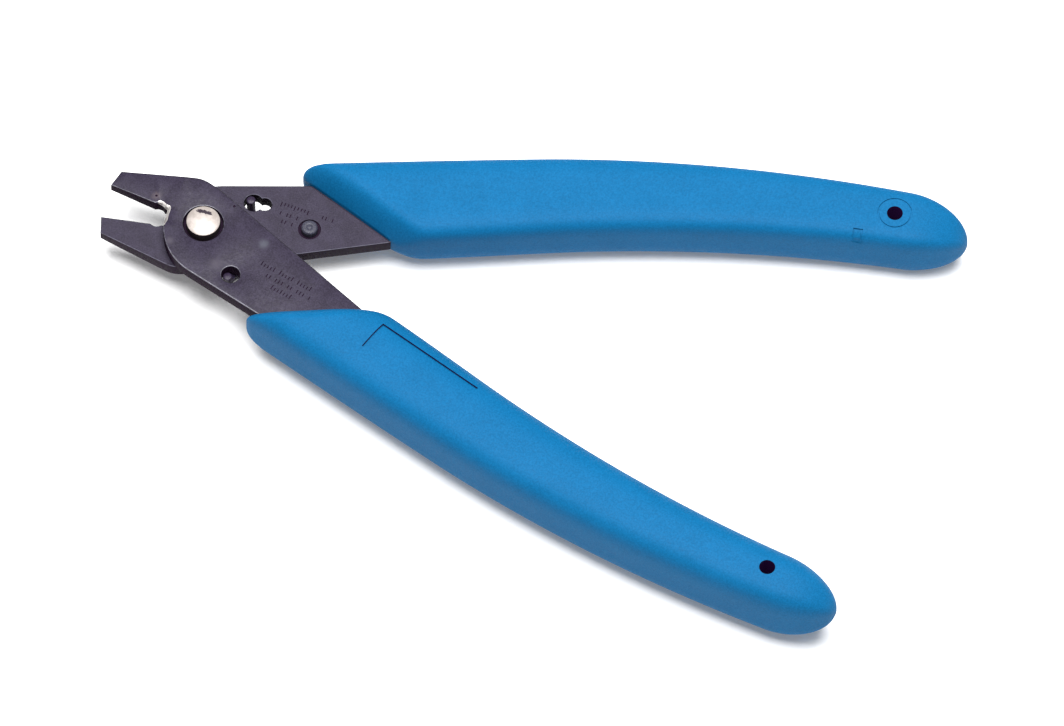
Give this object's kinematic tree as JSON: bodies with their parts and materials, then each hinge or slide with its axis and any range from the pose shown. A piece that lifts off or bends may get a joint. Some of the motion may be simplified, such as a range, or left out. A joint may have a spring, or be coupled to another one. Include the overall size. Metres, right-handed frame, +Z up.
{
  "type": "sprue nippers",
  "caption": "Hand-held shear nippers with two crossed flat blades, a domed pivot, a return spring and moulded grips, for cutting parts from plastic sprues.",
  "frame": {"origin": "below the middle of the object's box, on the surface that the nippers lie on; the pivot axis stands 53.6 mm from it towards -X", "axes": "+X from the jaws to the handles, midway between them; +Z up along the pivot axis, out of the bolt's domed head; +Y towards the handle of the bottom blade"},
  "size_m": [0.1412, 0.0848, 0.0155],
  "materials": {
    "blade_steel": "black-oxide sheet steel, satin",
    "grip": "soft moulded vinyl, fine matte skin",
    "polished_steel": "polished",
    "fastener_steel": "plated, satin",
    "pin_steel": "dark steel, satin",
    "spring_steel": "oil-tempered wire"
  },
  "bodies": {
    "bottom_half": {"bottom_blade": "blade_steel", "bottom_blade_grip": "grip", "pivot_bolt": "polished_steel", "pivot_washer": "fastener_steel", "pivot_nut": "fastener_steel", "stop_pin": "pin_steel", "return_spring": "spring_steel"},
    "top_half": {"top_blade": "blade_steel", "top_blade_grip": "grip"}
  },
  "joints": [
    {"name": "jaw_pivot", "type": "hinge", "parent": "bottom_half", "child": "top_half", "pos_m": [-0.05322, 0, 0.00777], "axis": [0, 0, 1], "range_deg": [0, 18.1], "stiffness_Nm_per_rad": 1.2, "deforming": ["return_spring"]}
  ]
}
